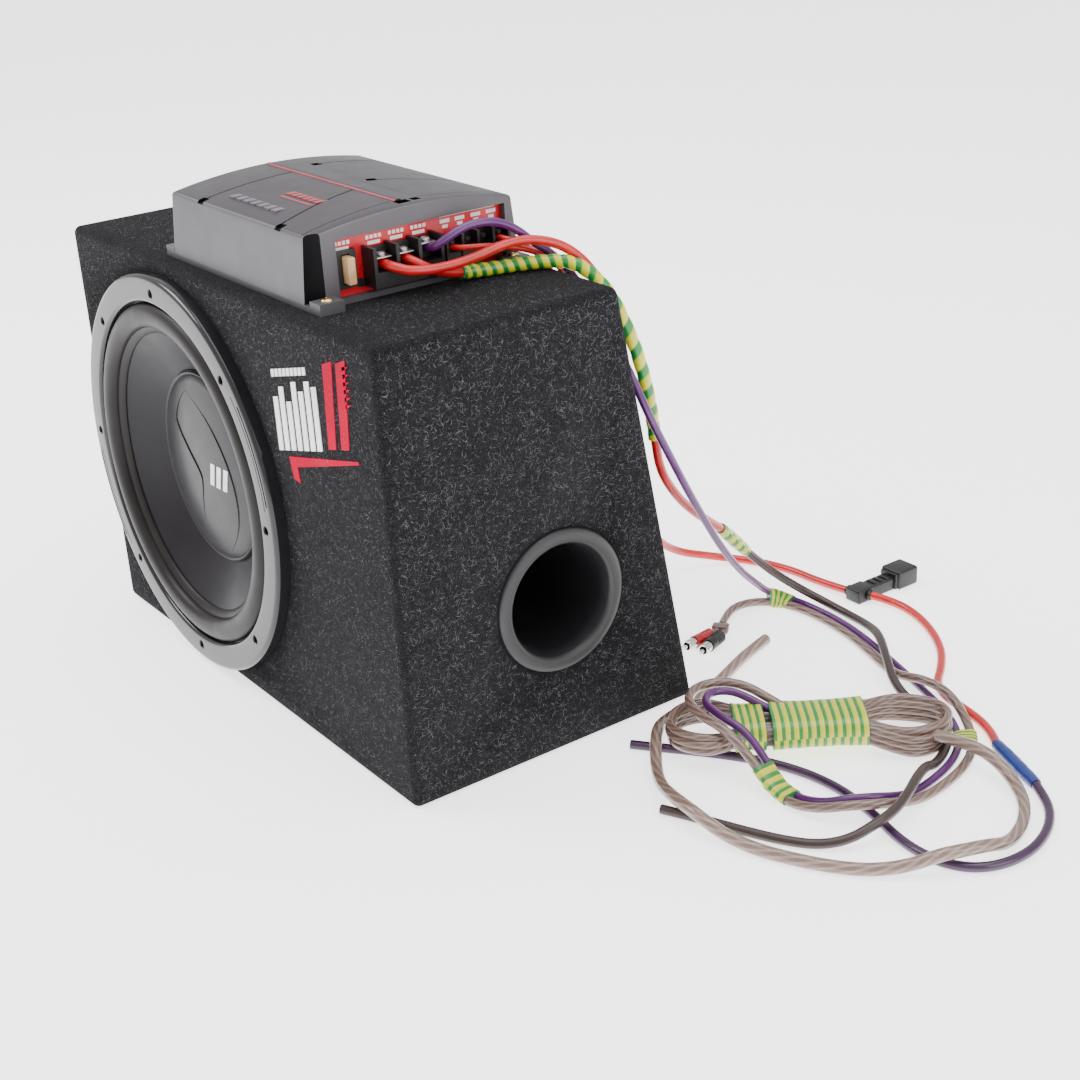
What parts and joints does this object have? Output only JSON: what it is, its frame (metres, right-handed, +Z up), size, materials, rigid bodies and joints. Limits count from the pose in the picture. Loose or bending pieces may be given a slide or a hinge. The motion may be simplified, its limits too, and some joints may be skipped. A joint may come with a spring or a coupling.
{
  "type": "powered car subwoofer",
  "caption": "Carpet-covered wedge box with a large bass driver, a side port and an amplifier on top, wired with loose power, signal and speaker leads.",
  "frame": {"origin": "centre of the base, on the floor", "axes": "+Z up, -Y out of the driver, +X towards the port and the amplifier's terminals"},
  "size_m": [0.7913, 0.5355, 0.394],
  "materials": {
    "carpet": "napped",
    "board": "raw fibreboard",
    "driver_metal": "satin",
    "ring": "gloss",
    "rubber": "soft sheen",
    "cone": "semi-gloss",
    "dark_steel": "zinc plated",
    "ferrite": "matt",
    "copper": "enamelled wire",
    "cloth": "woven",
    "black_plastic": "matt",
    "silver": "fine satin paint",
    "red_panel": "gloss",
    "brass": "plated",
    "tan": "gloss",
    "green_board": "lacquered",
    "red_cable": "gloss",
    "purple_cable": "satin",
    "dark_purple_cable": "satin",
    "brown_cable": "satin",
    "clear_cable": "clear over strands",
    "tape": "striped tape",
    "blue_tape": "gloss"
  },
  "bodies": {
    "cabinet": {"front_baffle": "board", "back_panel": "board", "bottom_panel": "board", "top_panel": "board", "left_panel": "board", "right_panel": "board", "carpet_skin": "carpet", "carpet_base": "carpet", "woofer_frame": "driver_metal", "trim_ring": "ring", "woofer_screws": "dark_steel", "surround": "rubber", "spider": "cloth", "top_plate": "dark_steel", "magnet": "ferrite", "back_plate": "dark_steel", "woofer_terminals": "black_plastic", "port_tube": "black_plastic", "terminal_cup": "black_plastic", "binding_posts": "brass", "terminal_cup_screws": "dark_steel", "amp_shell": "silver", "amp_base": "silver", "amp_screws": "brass", "label_panel": "red_panel", "control_panel": "red_panel", "power_terminal_block": "black_plastic", "power_clamps": "brass", "panel_screws": "dark_steel", "speaker_terminal_block": "black_plastic", "fuse_socket": "black_plastic", "signal_jacks": "brass", "power_light": "red_panel", "circuit_board": "green_board", "board_components": "black_plastic", "power_lead": "red_cable", "power_tail": "red_cable", "purple_tail": "dark_purple_cable", "ground_lead": "red_cable", "tape_wrap": "tape", "ground_tail": "red_cable", "brown_lead": "brown_cable", "remote_lead": "purple_cable", "signal_lead": "clear_cable", "clear_cable": "clear_cable", "speaker_wire_a": "red_cable", "speaker_wire_b": "red_cable", "inner_wires": "red_cable", "hank": "clear_cable", "splices": "blue_tape", "tape_bands": "tape", "fuse_holder": "black_plastic", "signal_plugs": "black_plastic"},
    "cone_assembly": {"cone": "cone", "dust_cap": "cone", "voice_coil": "copper"},
    "knob": {"gain_knob": "black_plastic"},
    "filter_slider": {"filter_switch": "black_plastic"},
    "boost_slider": {"boost_switch": "black_plastic"},
    "fuse": {"blade_fuse": "tan"}
  },
  "joints": [
    {"name": "cone_travel", "type": "slide", "parent": "cabinet", "child": "cone_assembly", "axis": [0, -1, 0], "range_m": [-0.009, 0.009], "stiffness_N_per_m": 5000, "deforming": ["surround", "spider"]},
    {"name": "gain_turn", "type": "hinge", "parent": "cabinet", "child": "knob", "pos_m": [-0.072, -0.01, 0.362], "axis": [-1, 0, 0], "range_deg": [-140, 140]},
    {"name": "filter_slide", "type": "slide", "parent": "cabinet", "child": "filter_slider", "axis": [0, 1, 0], "range_m": [-0.004, 0.004]},
    {"name": "boost_slide", "type": "slide", "parent": "cabinet", "child": "boost_slider", "axis": [0, 1, 0], "range_m": [-0.004, 0.004]},
    {"name": "fuse_pull", "type": "slide", "parent": "cabinet", "child": "fuse", "axis": [1, 0, 0], "range_m": [0, 0.012]}
  ]
}
